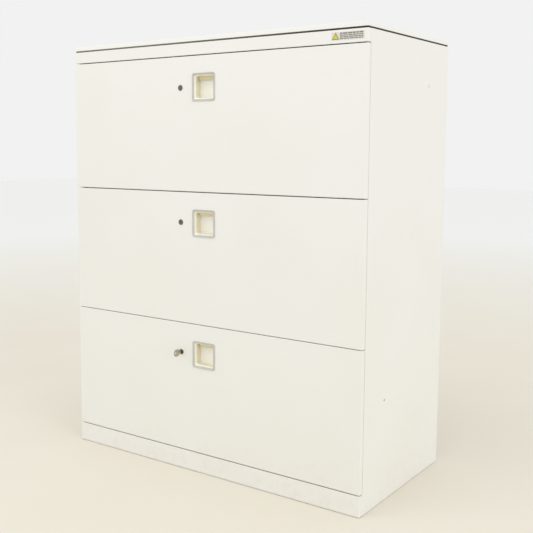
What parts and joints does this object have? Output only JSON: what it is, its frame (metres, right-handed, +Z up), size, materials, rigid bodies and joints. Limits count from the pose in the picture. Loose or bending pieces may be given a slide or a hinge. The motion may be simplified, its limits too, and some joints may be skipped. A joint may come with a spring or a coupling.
{
  "type": "lateral filing cabinet",
  "caption": "White sheet-steel lateral filing cabinet with deep full-width drawers, recessed finger handles with latches, a lock on each front and a slim top board.",
  "frame": {"origin": "on the floor, under the middle of the whole object's bounding box, the key in the bottom lock included (14.5 mm in front of the middle of the cabinet's own footprint)", "axes": "+Z up, +X to the right as seen from the front, the fronts face -Y and the drawers open along -Y"},
  "size_m": [0.9, 0.479, 1.1185],
  "materials": {
    "warm_white_paint": "satin powder coat",
    "white_laminate": "white laminate on particle board",
    "dark_edge_strip": "matte",
    "zinc_plated_steel": "zinc plated",
    "grey_plastic": "satin moulded plastic",
    "cream_plastic": "moulded plastic",
    "lock_nickel": "dull nickel plate",
    "key_metal": "worn nickel plate",
    "foot_black": "black"
  },
  "bodies": {
    "cabinet": {"left_side_panel": "warm_white_paint", "right_side_panel": "warm_white_paint", "back_panel": "warm_white_paint", "carcass_top": "warm_white_paint", "header_panel": "warm_white_paint", "kick_panel": "warm_white_paint", "bottom_panel": "warm_white_paint", "cross_rails": "warm_white_paint", "slide_posts": "warm_white_paint", "top_spacer": "dark_edge_strip", "top_board": "white_laminate", "slide_outer_members": "zinc_plated_steel", "foot_brackets": "zinc_plated_steel"},
    "levelling_feet_body": {"levelling_feet": "foot_black"},
    "bottom_drawer": {"bottom_front_skin": "warm_white_paint", "bottom_front_liner": "warm_white_paint", "bottom_drawer_bottom": "warm_white_paint", "bottom_drawer_walls": "warm_white_paint", "bottom_hanging_rails": "zinc_plated_steel", "bottom_handle_bezel": "grey_plastic", "bottom_handle_cup": "cream_plastic", "bottom_lock_cylinder": "lock_nickel", "bottom_slide_inner_members": "zinc_plated_steel"},
    "bottom_slide_middles": {"bottom_slide_middle_members": "zinc_plated_steel"},
    "bottom_outer_cages": {"bottom_outer_ball_cages": "zinc_plated_steel"},
    "bottom_inner_cages": {"bottom_inner_ball_cages": "zinc_plated_steel"},
    "bottom_latch": {"bottom_latch_lever": "cream_plastic", "bottom_latch_shaft": "zinc_plated_steel"},
    "bottom_lock": {"bottom_lock_plug": "lock_nickel"},
    "middle_drawer": {"middle_front_skin": "warm_white_paint", "middle_front_liner": "warm_white_paint", "middle_drawer_bottom": "warm_white_paint", "middle_drawer_walls": "warm_white_paint", "middle_hanging_rails": "zinc_plated_steel", "middle_handle_bezel": "grey_plastic", "middle_handle_cup": "cream_plastic", "middle_lock_cylinder": "lock_nickel", "middle_slide_inner_members": "zinc_plated_steel"},
    "middle_slide_middles": {"middle_slide_middle_members": "zinc_plated_steel"},
    "middle_outer_cages": {"middle_outer_ball_cages": "zinc_plated_steel"},
    "middle_inner_cages": {"middle_inner_ball_cages": "zinc_plated_steel"},
    "middle_latch": {"middle_latch_lever": "cream_plastic", "middle_latch_shaft": "zinc_plated_steel"},
    "middle_lock": {"middle_lock_plug": "lock_nickel"},
    "top_drawer": {"top_front_skin": "warm_white_paint", "top_front_liner": "warm_white_paint", "top_drawer_bottom": "warm_white_paint", "top_drawer_walls": "warm_white_paint", "top_hanging_rails": "zinc_plated_steel", "top_handle_bezel": "grey_plastic", "top_handle_cup": "cream_plastic", "top_lock_cylinder": "lock_nickel", "top_slide_inner_members": "zinc_plated_steel"},
    "top_slide_middles": {"top_slide_middle_members": "zinc_plated_steel"},
    "top_outer_cages": {"top_outer_ball_cages": "zinc_plated_steel"},
    "top_inner_cages": {"top_inner_ball_cages": "zinc_plated_steel"},
    "top_latch": {"top_latch_lever": "cream_plastic", "top_latch_shaft": "zinc_plated_steel"},
    "top_lock": {"top_lock_plug": "lock_nickel"},
    "key_body": {"key": "key_metal"}
  },
  "joints": [
    {"name": "bottom_drawer_slide", "type": "slide", "parent": "cabinet", "child": "bottom_drawer", "axis": [0, -1, 0], "range_m": [0, 0.4]},
    {"name": "bottom_slide_middles_run", "type": "slide", "parent": "cabinet", "child": "bottom_slide_middles", "axis": [0, -1, 0], "range_m": [0, 0.2]},
    {"name": "bottom_outer_cages_run", "type": "slide", "parent": "cabinet", "child": "bottom_outer_cages", "axis": [0, -1, 0], "range_m": [0, 0.1]},
    {"name": "bottom_inner_cages_run", "type": "slide", "parent": "cabinet", "child": "bottom_inner_cages", "axis": [0, -1, 0], "range_m": [0, 0.3]},
    {"name": "bottom_latch_pull", "type": "hinge", "parent": "bottom_drawer", "child": "bottom_latch", "pos_m": [0, -0.1965, 0.3565], "axis": [-1, 0, 0], "range_deg": [0, 18], "stiffness_Nm_per_rad": 0.1, "springref_deg": -22.92},
    {"name": "bottom_lock_turn", "type": "hinge", "parent": "bottom_drawer", "child": "bottom_lock", "pos_m": [-0.074, -0.2105, 0.3145], "axis": [0, -1, 0], "range_deg": [-90, 0]},
    {"name": "middle_drawer_slide", "type": "slide", "parent": "cabinet", "child": "middle_drawer", "axis": [0, -1, 0], "range_m": [0, 0.4]},
    {"name": "middle_slide_middles_run", "type": "slide", "parent": "cabinet", "child": "middle_slide_middles", "axis": [0, -1, 0], "range_m": [0, 0.2]},
    {"name": "middle_outer_cages_run", "type": "slide", "parent": "cabinet", "child": "middle_outer_cages", "axis": [0, -1, 0], "range_m": [0, 0.1]},
    {"name": "middle_inner_cages_run", "type": "slide", "parent": "cabinet", "child": "middle_inner_cages", "axis": [0, -1, 0], "range_m": [0, 0.3]},
    {"name": "middle_latch_pull", "type": "hinge", "parent": "middle_drawer", "child": "middle_latch", "pos_m": [0, -0.1965, 0.69625], "axis": [-1, 0, 0], "range_deg": [0, 18], "stiffness_Nm_per_rad": 0.1, "springref_deg": -22.92},
    {"name": "middle_lock_turn", "type": "hinge", "parent": "middle_drawer", "child": "middle_lock", "pos_m": [-0.074, -0.2105, 0.65425], "axis": [0, -1, 0], "range_deg": [-90, 0]},
    {"name": "top_drawer_slide", "type": "slide", "parent": "cabinet", "child": "top_drawer", "axis": [0, -1, 0], "range_m": [0, 0.4]},
    {"name": "top_slide_middles_run", "type": "slide", "parent": "cabinet", "child": "top_slide_middles", "axis": [0, -1, 0], "range_m": [0, 0.2]},
    {"name": "top_outer_cages_run", "type": "slide", "parent": "cabinet", "child": "top_outer_cages", "axis": [0, -1, 0], "range_m": [0, 0.1]},
    {"name": "top_inner_cages_run", "type": "slide", "parent": "cabinet", "child": "top_inner_cages", "axis": [0, -1, 0], "range_m": [0, 0.3]},
    {"name": "top_latch_pull", "type": "hinge", "parent": "top_drawer", "child": "top_latch", "pos_m": [0, -0.1965, 1.03675], "axis": [-1, 0, 0], "range_deg": [0, 18], "stiffness_Nm_per_rad": 0.1, "springref_deg": -22.92},
    {"name": "top_lock_turn", "type": "hinge", "parent": "top_drawer", "child": "top_lock", "pos_m": [-0.074, -0.2105, 0.99475], "axis": [0, -1, 0], "range_deg": [-90, 0]},
    {"name": "key_withdrawal", "type": "slide", "parent": "bottom_lock", "child": "key_body", "axis": [0, -1, 0], "range_m": [0, 0.03]},
    {"name": "levelling_feet_screw", "type": "slide", "parent": "cabinet", "child": "levelling_feet_body", "axis": [0, 0, -1], "range_m": [0, 0.012]}
  ],
  "couplings": [
    {"joint": "bottom_slide_middles_run", "follows": "bottom_drawer_slide", "ratio": 0.5},
    {"joint": "bottom_outer_cages_run", "follows": "bottom_drawer_slide", "ratio": 0.25},
    {"joint": "bottom_inner_cages_run", "follows": "bottom_drawer_slide", "ratio": 0.75},
    {"joint": "middle_slide_middles_run", "follows": "middle_drawer_slide", "ratio": 0.5},
    {"joint": "middle_outer_cages_run", "follows": "middle_drawer_slide", "ratio": 0.25},
    {"joint": "middle_inner_cages_run", "follows": "middle_drawer_slide", "ratio": 0.75},
    {"joint": "top_slide_middles_run", "follows": "top_drawer_slide", "ratio": 0.5},
    {"joint": "top_outer_cages_run", "follows": "top_drawer_slide", "ratio": 0.25},
    {"joint": "top_inner_cages_run", "follows": "top_drawer_slide", "ratio": 0.75}
  ]
}
